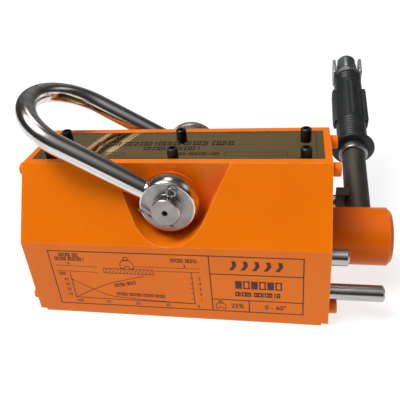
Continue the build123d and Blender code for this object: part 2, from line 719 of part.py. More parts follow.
with BuildPart() as latch_spring:
    coil_radius = SPRING_D / 2
    coil_height = BUTTON_STEM_START - SPRING_SEAT - SPRING_WIRE_D
    coil_pitch = coil_height / SPRING_TURNS
    coil_foot = lever_plane.offset(SPRING_SEAT + SPRING_WIRE_D / 2)
    with BuildLine() as coil:
        Helix(coil_pitch, coil_height, coil_radius, center=coil_foot.origin, direction=coil_foot.z_dir)
    with BuildSketch(Plane(origin=coil.line @ 0, z_dir=coil.line % 0)):
        Circle(SPRING_WIRE_D / 2)
    sweep(path=coil.line, is_frenet=True)
latch_spring.part.label = "latch_spring"
export_step(latch_spring.part, "parts/latch_spring.step")

# Latch: the button on the lever's end pushes a rod inside the lever, which carries the key

with BuildPart() as release_button:
    with BuildSketch(lever_plane.offset(BUTTON_START)):
        Circle(BUTTON_D / 2)
    extrude(amount=BUTTON_STRAIGHT + BUTTON_D / 2)
    fillet(release_button.faces().sort_by(lever_axis)[-1].edges(), BUTTON_D / 2 - BUTTON_FLAT)
    with BuildSketch(lever_plane.offset(BUTTON_START)):
        Circle(BUTTON_RIM_D / 2)
    extrude(amount=BUTTON_RIM_T)
    with BuildSketch(lever_plane.offset(BUTTON_STEM_START)):
        Circle(BUTTON_STEM_D / 2)
    extrude(amount=BUTTON_START - BUTTON_STEM_START)
    with BuildSketch(lever_plane.offset(BUTTON_STEM_START)):
        Circle(PUSH_ROD_D / 2)
    extrude(amount=PUSH_ROD_D, mode=Mode.SUBTRACT)
release_button.part.label = "release_button"
export_step(release_button.part, "parts/release_button.step")

with BuildPart() as push_rod:
    with BuildSketch(lever_plane.offset(PUSH_ROD_START)):
        Circle(PUSH_ROD_D / 2)
    extrude(amount=BUTTON_STEM_START + PUSH_ROD_D - PUSH_ROD_START)
    with BuildSketch(Plane.YZ.offset(LEVER_X - PUSH_ROD_D)):
        with Locations((KEY_PIN_AT * LEVER_COS, ROTOR_Z + KEY_PIN_AT * LEVER_SIN)):
            Circle(KEY_PIN_D / 2)
    extrude(amount=2 * PUSH_ROD_D, mode=Mode.SUBTRACT)
push_rod.part.label = "push_rod"
export_step(push_rod.part, "parts/push_rod.step")

# Block that slides along the lever and is hollowed to fit round it
with BuildPart() as safety_key:
    key_left = KEY_SIDE_X - LEVER_X
    key_right = -LEVER_D / 2 + KEY_LAP
    with BuildSketch(lever_plane.offset(KEY_START)):
        with Locations(((key_left + key_right) / 2, 0)):
            Rectangle(key_right - key_left, KEY_WIDTH)
        Circle(LEVER_D / 2 + CLEAR, mode=Mode.SUBTRACT)
    extrude(amount=KEY_END - KEY_START)
    with BuildSketch(Plane.YZ.offset(KEY_SIDE_X + KEY_WALL)):
        with Locations((KEY_PIN_AT * LEVER_COS, ROTOR_Z + KEY_PIN_AT * LEVER_SIN)):
            Circle(KEY_PIN_D / 2)
    extrude(amount=LEVER_D, mode=Mode.SUBTRACT)
safety_key.part.label = "safety_key"
export_step(safety_key.part, "parts/safety_key.step")

with BuildPart() as key_pin:
    with BuildSketch(Plane.YZ.offset(KEY_SIDE_X + KEY_WALL)):
        with Locations((KEY_PIN_AT * LEVER_COS, ROTOR_Z + KEY_PIN_AT * LEVER_SIN)):
            Circle(KEY_PIN_D / 2)
    extrude(amount=LEVER_X + PUSH_ROD_D / 2 - CLEAR - KEY_SIDE_X - KEY_WALL)
key_pin.part.label = "key_pin"
export_step(key_pin.part, "parts/key_pin.step")
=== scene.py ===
import json
from math import asin, atan2, cos, hypot, pi, radians, sin, sqrt, tan

import bmesh
import bpy
from mathutils import Matrix, Vector


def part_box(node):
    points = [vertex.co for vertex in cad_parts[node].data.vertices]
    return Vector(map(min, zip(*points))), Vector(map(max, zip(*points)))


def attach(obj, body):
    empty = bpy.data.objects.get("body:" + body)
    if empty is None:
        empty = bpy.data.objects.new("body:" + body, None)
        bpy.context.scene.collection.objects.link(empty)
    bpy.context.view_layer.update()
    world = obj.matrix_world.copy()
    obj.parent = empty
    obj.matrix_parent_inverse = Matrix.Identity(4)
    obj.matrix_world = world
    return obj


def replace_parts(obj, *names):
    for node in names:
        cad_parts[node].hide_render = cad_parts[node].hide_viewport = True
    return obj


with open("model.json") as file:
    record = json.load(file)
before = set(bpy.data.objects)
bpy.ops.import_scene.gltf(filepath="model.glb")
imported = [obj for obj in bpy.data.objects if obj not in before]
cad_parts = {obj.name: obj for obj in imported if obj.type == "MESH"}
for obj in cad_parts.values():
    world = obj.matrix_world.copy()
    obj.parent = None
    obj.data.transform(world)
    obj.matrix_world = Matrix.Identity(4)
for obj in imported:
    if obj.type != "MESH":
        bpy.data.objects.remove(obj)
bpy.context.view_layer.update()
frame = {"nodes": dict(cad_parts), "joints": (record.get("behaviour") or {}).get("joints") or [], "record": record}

nodes = frame["nodes"]
joints = {joint["name"]: joint for joint in frame["joints"]}
MM = 0.001

# ---------------------------------------------------------------- places, read from the frame

block_low, block_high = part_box("pole_block_front")
FRONT_Y = block_low[1]
BLOCK_END = block_high[0]
PIN_Z = joints["shackle_swing"]["pos_m"][2]
SHAFT_Z = joints["lever_turn"]["pos_m"][2]
LEVER_DIRECTION = Vector(joints["latch_slide"]["axis"]).normalized()
rod_low, rod_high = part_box("lever_rod")
LEVER_X = (rod_low[0] + rod_high[0]) / 2
# Local Z runs up the lever, local X is the body's X
LEVER_FRAME = Matrix.Translation((LEVER_X, 0, SHAFT_Z)) @ Matrix(
    (Vector((1, 0, 0)), LEVER_DIRECTION.cross(Vector((1, 0, 0))), LEVER_DIRECTION)
).transposed().to_4x4()


# ---------------------------------------------------------------- mesh helpers


def add_mesh(name, bm, body, material, smooth_angle=35):
    """Makes an object from a bmesh, rides it on a body and gives it a material."""
    bmesh.ops.recalc_face_normals(bm, faces=bm.faces)
    mesh = bpy.data.meshes.new(name)
    bm.to_mesh(mesh)
    bm.free()
    piece = bpy.data.objects.new(name, mesh)
    bpy.context.scene.collection.objects.link(piece)
    mesh.materials.append(material)
    mesh.shade_smooth()
    mesh.set_sharp_from_angle(angle=radians(smooth_angle))
    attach(piece, body)
    return piece


def lathe(bm, profile, place, segments):
    """Turns a profile of (radius, height) points about local Z; a radius of 0 closes an end."""
    rings = []
    for radius, height in profile:
        if radius < 1e-7:
            rings.append([bm.verts.new(place @ Vector((0, 0, height)))])
            continue
        ring = []
        for k in range(segments):
            angle = 2 * pi * k / segments
            spot = Vector((radius * cos(angle), radius * sin(angle), height))
            ring.append(bm.verts.new(place @ spot))
        rings.append(ring)
    for low, high in zip(rings, rings[1:]):
        for k in range(segments):
            j = (k + 1) % segments
            if len(low) == 1:
                bm.faces.new((low[0], high[k], high[j]))
            elif len(high) == 1:
                bm.faces.new((low[k], low[j], high[0]))
            else:
                bm.faces.new((low[k], low[j], high[j], high[k]))


def rounded(profile, corners, steps=6):
    """Replaces chosen corners of a profile by arcs; corners maps an index to a radius."""
    out = []
    for i, point in enumerate(profile):
        radius = corners.get(i)
        if not radius:
            out.append(point)
            continue
        here = Vector(point)
        before = (Vector(profile[i - 1]) - here).normalized()
        after = (Vector(profile[(i + 1) % len(profile)]) - here).normalized()
        half = before.angle(after) / 2
        start = here + before * radius / tan(half)
        end = here + after * radius / tan(half)
        centre = here + (before + after).normalized() * radius / sin(half)
        first = start - centre
        last = end - centre
        swing = first.angle(last)
        for s in range(steps + 1):
            t = s / steps
            spoke = (first * sin((1 - t) * swing) + last * sin(t * swing)) / sin(swing)
            out.append(tuple(centre + spoke))
    return out


def tube(bm, points, radius, segments):
    """A round tube through 3-D points, closed at both ends."""
    rings = []
    count = len(points)
    side = None
    for i, point in enumerate(points):
        ahead = points[min(i + 1, count - 1)]
        behind = points[max(i - 1, 0)]
        along = (ahead - behind).normalized()
        if side is None:
            guess = Vector((0, 1, 0)) if abs(along.y) < 0.9 else Vector((1, 0, 0))
            side = (guess - along * guess.dot(along)).normalized()
        side = (side - along * side.dot(along)).normalized()
        across = along.cross(side)
        ring = []
        for k in range(segments):
            angle = 2 * pi * k / segments
            spoke = side * cos(angle) * radius + across * sin(angle) * radius
            ring.append(bm.verts.new(point + spoke))
        rings.append(ring)
    for low, high in zip(rings, rings[1:]):
        for k in range(segments):
            j = (k + 1) % segments
            bm.faces.new((low[k], low[j], high[j], high[k]))
    bm.faces.new(list(reversed(rings[0])))
    bm.faces.new(rings[-1])


def slab(bm, outline, place, low, high, edge, steps=4):
    """A plate whose closed outline lies in local X and Y, with rounded edges at both faces."""
    count = len(outline)
    outward = []
    for i in range(count):
        ahead = Vector(outline[(i + 1) % count]) - Vector(outline[i])
        behind = Vector(outline[i]) - Vector(outline[i - 1])
        along = (ahead.normalized() + behind.normalized()).normalized()
        outward.append(Vector((along.y, -along.x)))
    levels = []
    for s in range(steps + 1):
        angle = radians(90) * s / steps
        levels.append((edge * (1 - sin(angle)), low + edge * (1 - cos(angle))))
    levels += [(inset, low + high - level) for inset, level in reversed(levels)]
    rings = []
    for inset, level in levels:
        ring = []
        for point, normal in zip(outline, outward):
            spot = Vector(point) - normal * inset
            ring.append(bm.verts.new(place @ Vector((spot.x, spot.y, level))))
        rings.append(ring)
    for lower, upper in zip(rings, rings[1:]):
        for k in range(count):
            j = (k + 1) % count
            bm.faces.new((lower[k], lower[j], upper[j], upper[k]))
    bm.faces.new(list(reversed(rings[0])))
    bm.faces.new(rings[-1])


def rectangle(width, height, radius, steps=5):
    """The outline of a rectangle with round corners, counter-clockwise about its centre."""
    outline = []
    for k, (sx, sy) in enumerate(((1, -1), (1, 1), (-1, 1), (-1, -1))):
        for s in range(steps + 1):
            angle = radians(-90 + 90 * k + 90 * s / steps)
            x = sx * (width / 2 - radius) + radius * cos(angle)
            y = sy * (height / 2 - radius) + radius * sin(angle)
            outline.append((x, y))
    return outline


# ---------------------------------------------------------------- material helpers


class Shader:
    """A small wrapper round one material's node tree."""

    def __init__(self, name, **values):
        self.material = bpy.data.materials.new(name)
        self.material.use_nodes = True
        self.tree = self.material.node_tree
        self.main = self.tree.nodes["Principled BSDF"]
        self.place = self.tree.nodes.new("ShaderNodeTexCoord").outputs["Object"]
        for socket, value in values.items():
            self.main.inputs[socket.replace("_", " ")].default_value = value

    def node(self, kind, inputs=None, **settings):
        made = self.tree.nodes.new(kind)
        for key, value in settings.items():
            setattr(made, key, value)
        for key, value in (inputs or {}).items():
            if isinstance(value, bpy.types.NodeSocket):
                self.tree.links.new(value, made.inputs[key])
            else:
                made.inputs[key].default_value = value
        return made

    def link(self, output, socket):
        self.tree.links.new(output, self.main.inputs[socket])

    def stretch(self, scale, centre=(0, 0, 0), turn=0):
        """Object coordinates measured from a centre, turned about Y and then scaled along each axis."""
        inputs = {"Vector": self.place, "Location": [-c for c in centre]}
        moved = self.node("ShaderNodeMapping", inputs).outputs[0]
        inputs = {"Vector": moved, "Rotation": (0, -turn, 0)}
        turned_round = self.node("ShaderNodeMapping", inputs).outputs[0]
        return self.node("ShaderNodeMapping", {"Vector": turned_round, "Scale": scale}).outputs[0]

    def noise(self, scale, detail=3.0, rough=0.5, vector=None):
        inputs = {"Vector": vector or self.place, "Scale": scale}
        inputs |= {"Detail": detail, "Roughness": rough}
        return self.node("ShaderNodeTexNoise", inputs).outputs["Fac"]

    def remap(self, value, low, high, out_low, out_high):
        inputs = {"Value": value, "From Min": low, "From Max": high}
        inputs |= {"To Min": out_low, "To Max": out_high}
        return self.node("ShaderNodeMapRange", inputs).outputs["Result"]

    def math(self, operation, first, second):
        return self.node("ShaderNodeMath", {0: first, 1: second}, operation=operation).outputs[0]

    def ramp(self, value, *stops):
        made = self.node("ShaderNodeValToRGB", {"Fac": value})
        points = made.color_ramp.elements
        while len(points) < len(stops):
            points.new(0.5)
        for point, (position, color) in zip(points, stops):
            point.position = position
            point.color = (*color, 1)
        return made.outputs["Color"]

    def mix(self, factor, first, second):
        made = self.node("ShaderNodeMix", {0: factor}, data_type="RGBA")
        for socket, value in ((6, first), (7, second)):
            if isinstance(value, bpy.types.NodeSocket):
                self.tree.links.new(value, made.inputs[socket])
            else:
                made.inputs[socket].default_value = (*value, 1)
        return made.outputs[2]

    def bump(self, height, strength, distance, normal=None):
        inputs = {"Height": height, "Strength": strength, "Distance": distance}
        if normal:
            inputs["Normal"] = normal
        return self.node("ShaderNodeBump", inputs).outputs["Normal"]

    def edges(self, radius):
        """1 along sharp edges, fading to 0 over a radius, broken up by noise."""
        soft = self.node("ShaderNodeBevel", {"Radius": radius}, samples=4).outputs[0]
        true = self.node("ShaderNodeNewGeometry").outputs["Normal"]
        near = self.node("ShaderNodeVectorMath", {0: soft, 1: true}, operation="DOT_PRODUCT")
        turning = self.remap(near.outputs["Value"], 0.999, 0.9, 0, 1)
        return self.math("MULTIPLY", turning, self.remap(self.noise(260, 4), 0.35, 0.65, 0.2, 1))


def enamel(name, deep, bright, gloss, ground=False):
    """Enamel with a faint orange peel, thin along its edges, where a lighter colour also paints a highlight.

    Ground enamel stops just above the pole faces, which are bare ground steel below.
    """
    s = Shader(name, Coat_Roughness=0.05, Specular_IOR_Level=0.12)
    paint = s.ramp(s.noise(14, 3), (0.35, deep), (0.65, bright))
    speck = s.remap(s.noise(900, 2), 0.68, 0.78, 0, 0.35)
    paint = s.mix(speck, paint, [c * 0.7 for c in deep])
    # Paint fills the joints between the blocks and the end plates, so the thin edges and their painted highlight
    # stop short of them
    along = s.node("ShaderNodeSeparateXYZ", {"Vector": s.place}).outputs["X"]
    from_joint = s.math("ABSOLUTE", s.math("SUBTRACT", s.math("ABSOLUTE", along, 0.0), BLOCK_END), 0.0)
    thin = s.math("MULTIPLY", s.edges(0.0011), s.remap(from_joint, 0.001, 0.0018, 0, 1))
    # Along the edges the paint is thinner and is lightened to pale orange as a painted highlight
    paint = s.mix(s.math("MULTIPLY", thin, 0.75), paint, (1.0, 0.5, 0.16))
    rough = s.remap(s.noise(120, 2), 0.3, 0.7, 0.28, 0.4)
    if ground:
        height = s.node("ShaderNodeSeparateXYZ", {"Vector": s.place}).outputs["Z"]
        painted = s.remap(height, 0.00015, 0.0004, 0, 1)
        grinding = s.noise(60, 4, 0.6, s.stretch((2, 60, 1)))
        steel = s.ramp(grinding, (0.3, (0.32, 0.32, 0.33)), (0.7, (0.55, 0.55, 0.56)))
        paint = s.mix(painted, steel, paint)
        s.link(s.remap(painted, 0, 1, 1, 0), "Metallic")
        # The sides keep their gloss below the knee; the faces above it are rubbed duller by slings
        upright = s.remap(height, 0.066, 0.068, gloss, gloss * 0.3)
        s.link(s.math("MULTIPLY", painted, upright), "Coat Weight")
    else:
        s.main.inputs["Coat Weight"].default_value = gloss
    s.link(paint, "Base Color")
    s.link(rough, "Roughness")
    peel = s.bump(s.noise(420, 2), 0.25, 0.00005)
    s.link(s.bump(s.noise(45, 2), 0.3, 0.0002, peel), "Normal")
    return s.material


def polished(name, dark, light, rough, grain=(1, 1, 1), scratch=0.15, turn=0):
    """Bright metal with faint marks drawn out along its grain, rubbed brighter along its edges; on the chrome the
    marks are painted reflections of the room.
    """
    s = Shader(name, Metallic=1.0)
    marks = s.noise(160, 4, 0.6, s.stretch(grain, turn=turn))
    worn = s.math("MULTIPLY", s.edges(0.0007), 0.5)
    base = s.ramp(marks, (0.3, dark), (0.7, light))
    s.link(s.mix(worn, base, [min(1, c * 1.3) for c in light]), "Base Color")
    s.link(s.remap(marks, 0.25, 0.75, rough * 0.7, rough * 1.4), "Roughness")
    s.link(s.bump(marks, scratch, 0.00004), "Normal")
    return s.material


def turned(name, dark, light, rough, axis, centre):
    """Turned metal: fine rings about an axis through a centre, where axis is "X", "Y" or "Z"."""
    s = Shader(name, Metallic=1.0)
    rings = s.node(
        "ShaderNodeTexWave",
        {"Vector": s.stretch((1, 1, 1), centre), "Scale": 420.0, "Distortion": 0.6, "Detail": 2.0},
        wave_type="RINGS",
        rings_direction=axis,
    ).outputs["Fac"]
    worn = s.math("MULTIPLY", s.edges(0.0006), 0.5)
    base = s.ramp(s.noise(90, 4), (0.3, dark), (0.7, light))
    # The round sides get a lighter base colour as a painted highlight and a smoother cut; the faces square to the
    # axis are cut duller
    normal = s.node("ShaderNodeTexCoord").outputs["Normal"]
    along = s.node("ShaderNodeSeparateXYZ", {"Vector": normal}).outputs[axis]
    side_highlight_and_smoothness = s.remap(s.math("ABSOLUTE", along, 0.0), 0.6, 0.9, 1, 0)
    base = s.mix(s.math("MULTIPLY", side_highlight_and_smoothness, 0.7), base, [min(1, c * 2) for c in light])
    s.link(s.mix(worn, base, [min(1, c * 1.3) for c in light]), "Base Color")
    cut = s.remap(rings, 0, 1, rough * 0.8, rough * 1.25)
    s.link(s.math("MULTIPLY", cut, s.remap(side_highlight_and_smoothness, 0, 1, 1, 0.5)), "Roughness")
    s.link(s.bump(rings, 0.2, 0.00003), "Normal")
    return s.material


def black_oxide():
    """Oil-blacked steel, patchy, rubbed to grey along its edges."""
    s = Shader("black_oxide", Metallic=0.7)
    patch = s.noise(220, 4)
    base = s.ramp(patch, (0.3, (0.012, 0.012, 0.013)), (0.75, (0.05, 0.048, 0.046)))
    s.link(s.mix(s.math("MULTIPLY", s.edges(0.0004), 0.6), base, (0.2, 0.19, 0.18)), "Base Color")
    s.link(s.remap(patch, 0.3, 0.7, 0.3, 0.5), "Roughness")
    s.link(s.bump(s.noise(900, 2), 0.3, 0.00004), "Normal")
    return s.material


def rubber():
    """Matt moulded rubber with a fine grain, paler along its edges."""
    s = Shader("grip_rubber", Specular_IOR_Level=0.35)
    patch = s.noise(60, 4)
    base = s.ramp(patch, (0.3, (0.011, 0.0125, 0.0135)), (0.7, (0.018, 0.02, 0.0215)))
    s.link(s.mix(s.math("MULTIPLY", s.edges(0.0005), 0.5), base, (0.09, 0.095, 0.1)), "Base Color")
    s.link(s.remap(patch, 0.3, 0.7, 0.36, 0.5), "Roughness")
    s.link(s.bump(s.noise(1300, 3), 0.35, 0.00006), "Normal")
    return s.material


def ink(name, dark, light, **values):
    """Printing ink or engraver's paint, uneven in tone and slightly rough."""
    s = Shader(name, **values)
    s.link(s.ramp(s.noise(500, 3), (0.3, dark), (0.7, light)), "Base Color")
    s.link(s.remap(s.noise(300, 2), 0.3, 0.7, 0.35, 0.5), "Roughness")
    s.link(s.bump(s.noise(1500, 2), 0.2, 0.00002), "Normal")
    return s.material


SHAFT_CENTRE = (0, 0, SHAFT_Z)
PIN_CENTRE = (0, 0, PIN_Z)
# How far the shackle leans up from level when it rests
REST_TILT = radians(30.8)
PANEL_INK = ink("panel_ink", (0.045, 0.012, 0.012), (0.08, 0.022, 0.019), Specular_IOR_Level=0.4)
ENGRAVING = ink("engraving", (0.016, 0.01, 0.006), (0.036, 0.022, 0.012))
EYE_FACE = turned("eye_face", (0.25, 0.235, 0.23), (0.36, 0.345, 0.335), 0.36, "Y", PIN_CENTRE)
DULL_STEEL = polished("dull_steel", (0.22, 0.213, 0.21), (0.33, 0.322, 0.32), 0.3)
# One material for each material slot of the record
MATERIALS = {
    "body_enamel": enamel(
        "body_enamel", (0.84, 0.17, 0.0015), (0.9, 0.195, 0.002), 0.28, ground=True
    ),
    "hub_enamel": enamel("hub_enamel", (0.64, 0.113, 0.002), (0.74, 0.138, 0.003), 0.05),
    "pole_iron": turned("pole_iron", (0.3, 0.3, 0.31), (0.38, 0.38, 0.39), 0.4, "X", SHAFT_CENTRE),
    "brass": polished("machined_brass", (0.6, 0.43, 0.2), (0.72, 0.54, 0.27), 0.3, (0.2, 4, 4)),
    "nameplate": polished(
        "mirror_brass", (0.48, 0.3, 0.1), (0.62, 0.45, 0.19), 0.07, (0.1, 3, 3), 0.1
    ),
    "magnet_nickel": polished("nickel", (0.55, 0.54, 0.5), (0.65, 0.64, 0.6), 0.2),
    "black_screw": black_oxide(),
    "bronze": turned("bronze", (0.5, 0.33, 0.17), (0.6, 0.41, 0.22), 0.35, "X", SHAFT_CENTRE),
    "polished_steel": polished(
        "polished_steel", (0.35, 0.34, 0.333), (0.53, 0.515, 0.505), 0.2, (0.3, 3, 3)
    ),
    "turned_steel": turned(
        "turned_steel", (0.29, 0.27, 0.265), (0.39, 0.365, 0.355), 0.45, "Y", PIN_CENTRE
    ),
    # The chrome's brownish streaks along the legs are painted reflections of the room
    "chrome": polished(
        "bright_chrome", (0.5, 0.455, 0.42), (0.8, 0.8, 0.81), 0.1, (0.12, 1.6, 2.4), 0.12, REST_TILT
    ),
    "gunmetal": polished(
        "gunmetal", (0.072, 0.061, 0.053), (0.107, 0.092, 0.081), 0.6, (1, 0.25, 0.25)
    ),
    "guard_steel": polished("guard_steel", (0.3, 0.285, 0.29), (0.4, 0.385, 0.39), 0.4),
    "button_chrome": polished("button_chrome", (0.58, 0.61, 0.62), (0.7, 0.74, 0.75), 0.13),
    "rubber": rubber(),
    "spring_steel": polished("spring_steel", (0.4, 0.4, 0.41), (0.5, 0.5, 0.51), 0.3),
}

# ---------------------------------------------------------------- CAD nodes that stay

# Edge radius in mm
BEVELS = {
    "pole_block_front": 0.5,
    "pole_block_rear": 0.5,
    "end_plate_left": 0.3,
    "end_plate_right": 0.3,
    "end_screws_left": 0.35,
    "end_screws_right": 0.35,
    "hub": 1.5,
    "lever_rod": 0.3,
    "safety_key": 0.5,
    "set_screws": 0.2,
    "shackle_pin": 0.3,
}
slot_of = {part["node"]: part["material_slot"] for part in frame["record"]["subparts"]}
for name, node in nodes.items():
    node.data.materials.clear()
    node.data.materials.append(MATERIALS[slot_of[name]])
    if name in BEVELS:
        bevel = node.modifiers.new("edge_round", "BEVEL")
        bevel.width = BEVELS[name] * MM
        bevel.segments = 3
        bevel.limit_method = "ANGLE"
        bevel.angle_limit = radians(30)
        bevel.harden_normals = True

# ---------------------------------------------------------------- shackle

ROD_R = 7.7 * MM
EYE_R = 22.0 * MM
EYE_BORE = 10.56 * MM
EYE_INNER = 33.0 * MM
EYE_OUTER = 49.0 * MM
EYE_BULGE = 2.2 * MM
EYE_ROUND = 1.3 * MM
BORE_ROUND = 0.6 * MM
BOW_R = 41.2 * MM
BOW_CENTRE = 85.0 * MM
LEG_START = 13.0 * MM


def make_shackle():
    """Both eyes, the two legs and the bow, all one chromed forging with satin eye faces."""
    bm = bmesh.new()
    thick = EYE_OUTER - EYE_INNER
    side_r = EYE_R - EYE_BULGE
    barrel = []
    for k in range(15):
        level = thick * (k + 1) / 16
        barrel.append((EYE_R - EYE_BULGE * (2 * level / thick - 1) ** 2, level))
    profile = [(EYE_BORE, 0), (side_r, 0), *barrel, (side_r, thick), (EYE_BORE, thick)]
    last = len(profile) - 1
    corners = {0: BORE_ROUND, 1: EYE_ROUND, last - 1: EYE_ROUND, last: BORE_ROUND}
    profile = rounded(profile, corners)
    for side in (-1, 1):
        turn = Matrix.Rotation(radians(90) * -side, 4, "X")
        place = Matrix.Translation((0, side * EYE_INNER, PIN_Z)) @ turn
        lathe(bm, profile + profile[:1], place, 128)
    # The flat outer faces of the eyes are satin, not polished
    for face in bm.faces:
        middle = face.calc_center_median()
        from_pin = hypot(middle.x, middle.z - PIN_Z)
        if abs(middle.y) > EYE_OUTER - 0.02 * MM and from_pin < side_r - EYE_ROUND:
            face.material_index = 1
    eye_y = (EYE_INNER + EYE_OUTER) / 2
    reach = hypot(eye_y, BOW_CENTRE)
    lean = pi - atan2(BOW_CENTRE, eye_y) - asin(BOW_R / reach)
    straight = sqrt(reach**2 - BOW_R**2)
    # Each path point is (across, up the shackle)
    leg = []
    for k in range(49):
        s = LEG_START + (straight - LEG_START) * k / 48
        leg.append((eye_y + s * cos(lean), s * sin(lean)))
    corner = atan2(leg[-1][1] - BOW_CENTRE, leg[-1][0])
    bow = []
    for k in range(1, 96):
        angle = corner + (pi - 2 * corner) * k / 96
        bow.append((BOW_R * cos(angle), BOW_CENTRE + BOW_R * sin(angle)))
    path = leg + bow + [(-y, s) for y, s in reversed(leg)]
    up = Vector((-cos(REST_TILT), 0, sin(REST_TILT)))
    points = [Vector((0, y, PIN_Z)) + up * s for y, s in path]
    tube(bm, points, ROD_R, 64)
    bmesh.ops.remove_doubles(bm, verts=bm.verts, dist=1e-7)
    piece = add_mesh("shackle_forging", bm, "shackle", MATERIALS["chrome"], 40)
    piece.data.materials.append(EYE_FACE)
    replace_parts(piece, "shackle")


make_shackle()

# ---------------------------------------------------------------- split pin, in mm

COTTER_Y = 52.2
COTTER_TILT = radians(20)
WIRE_R = 0.8
RING_AT = 15.2
RING_R = 3.0


def make_cotter():
    """A split pin: one wire bent into a ring, its two legs through the pin and bent apart below it."""
    bm = bmesh.new()
    place = Matrix.Translation((0, -COTTER_Y * MM, PIN_Z)) @ Matrix.Rotation(COTTER_TILT, 4, "Y")
    spread = asin(WIRE_R / RING_R)
    neck = RING_AT - RING_R * cos(spread)
    # Each path point, in mm, is (across, up the pin's own cross hole)
    path = [(-18.9, -5.9), (-6.0, -10.35), (-2.6, -11.5), (-1.5, -11.5), (-0.95, -10.9)]
    path += [(-WIRE_R, -9.6), (-WIRE_R, neck - 0.6)]
    for k in range(41):
        angle = -pi / 2 - spread - (2 * pi - 2 * spread) * k / 40
        path.append((RING_R * cos(angle), RING_AT + RING_R * sin(angle)))
    path += [(WIRE_R, neck - 0.6), (WIRE_R, -9.6)]
    path += [(0.95, -10.9), (1.5, -11.6), (2.6, -11.8), (8.4, -11.3)]
    points = [place @ Vector((x * MM, 0, z * MM)) for x, z in path]
    tube(bm, points, WIRE_R * MM, 16)
    piece = add_mesh("split_pin", bm, "housing", DULL_STEEL, 50)
    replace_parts(piece, "cotter_pin")


make_cotter()

# ---------------------------------------------------------------- lever: ferrule, grip, guard and button

AROUND = 144


def make_ferrule():
    """The short sleeve on the rod below the grip, round at its lower edge."""
    bm = bmesh.new()
    bore, outer = 10.0 * MM, 12.5 * MM
    low, high = 87.5 * MM, 95.0 * MM
    profile = rounded([(bore, low), (outer, low), (outer, high), (bore, high)], {1: 1.6 * MM})
    lathe(bm, profile + profile[:1], LEVER_FRAME, AROUND)
    bmesh.ops.remove_doubles(bm, verts=bm.verts, dist=1e-7)
    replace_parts(add_mesh("lever_ferrule", bm, "rotor", DULL_STEEL), "ferrule")


# The grip's sizes are in mm; heights are along the lever from the shaft's axis
GRIP_R = 13.4
FLANGE_R = 18.8
GRIP_BORE = 10.0
GRIP_START, GRIP_END = 95.0, 197.0
FLANGE_END = 98.6
LOW_RIBS = (102.5, 127.5)
HIGH_RIBS = (184.5, 195.5)
RIB_PITCH = 3.1
RIB_DEPTH = 0.55
FLUTE_DEPTH = 0.5
FLUTES = 8


def grip_radius(height, angle):
    """Radius of the moulded grip, in mm, at a height along the lever and an angle round it."""
    radius = GRIP_R
    for low, high in (LOW_RIBS, HIGH_RIBS):
        if low <= height <= high:
            radius -= RIB_DEPTH * (0.5 - 0.5 * cos(2 * pi * (height - low) / RIB_PITCH)) ** 0.7
    middle_low, middle_high = LOW_RIBS[1] + 2, HIGH_RIBS[0] - 3
    fade = min(1, max(0, (height - middle_low) / 3), max(0, (middle_high - height) / 3))
    radius -= FLUTE_DEPTH * fade * (0.5 + 0.5 * cos(FLUTES * angle)) ** 3
    return radius


def make_grip():
    """Ribbed and fluted rubber with a flange at its foot and two raised pads at its sides."""
    bm = bmesh.new()
    lip = 1.1
    foot = [(GRIP_BORE, GRIP_START), (FLANGE_R, GRIP_START)]
    foot += [(FLANGE_R, FLANGE_END), (GRIP_R, FLANGE_END)]
    foot = rounded(foot, {0: 0.4, 1: lip, 2: lip})[:-1]
    rings = [[(r, h)] * AROUND for r, h in foot]
    fillet = 1.4
    for s in range(7):
        angle = radians(90) * s / 6
        spot = (GRIP_R + fillet * (1 - sin(angle)), FLANGE_END + fillet * (1 - cos(angle)))
        rings.append([spot] * AROUND)
    height = FLANGE_END + fillet
    while height < GRIP_END - 0.6:
        height += 0.3
        rings.append([(grip_radius(height, 2 * pi * k / AROUND), height) for k in range(AROUND)])
    rings.append([(GRIP_R - 0.5, GRIP_END)] * AROUND)
    rings.append([(GRIP_BORE, GRIP_END)] * AROUND)
    rings.append(rings[0])
    made = []
    for ring in rings[:-1]:
        made.append([])
        for k, (radius, level) in enumerate(ring):
            angle = 2 * pi * k / AROUND
            spot = Vector((radius * cos(angle), radius * sin(angle), level)) * MM
            made[-1].append(bm.verts.new(LEVER_FRAME @ spot))
    made.append(made[0])
    for lower, upper in zip(made, made[1:]):
        for k in range(AROUND):
            j = (k + 1) % AROUND
            bm.faces.new((lower[k], lower[j], upper[j], upper[k]))
    # Pads: one along each side of the grip, with four ridges standing on it
    pad_low, pad_high, pad_height, span = 128.0, 176.0, 12.0, 32.0
    for side in (-1, 1):
        turn = Matrix.Rotation(radians(90) * side, 4, "Y")
        centre = Matrix.Translation((0, 0, (pad_low + pad_high) / 2 * MM))
        base = rectangle((pad_high - pad_low) * MM, pad_height * MM, 3 * MM)
        slab(bm, base, LEVER_FRAME @ centre @ turn, 10.5 * MM, (span / 2 - 0.7) * MM, 0.5 * MM)
        for offset in (-3.6, -1.2, 1.2, 3.6):
            ridge = rectangle((pad_high - pad_low - 5) * MM, 1.5 * MM, 0.7 * MM)
            shift = Matrix.Translation((0, offset * MM, 0))
            slab(bm, ridge, LEVER_FRAME @ centre @ turn @ shift, 14.6 * MM, span / 2 * MM, 0.5 * MM)
    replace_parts(add_mesh("hand_grip", bm, "rotor", MATERIALS["rubber"], 40), "grip")


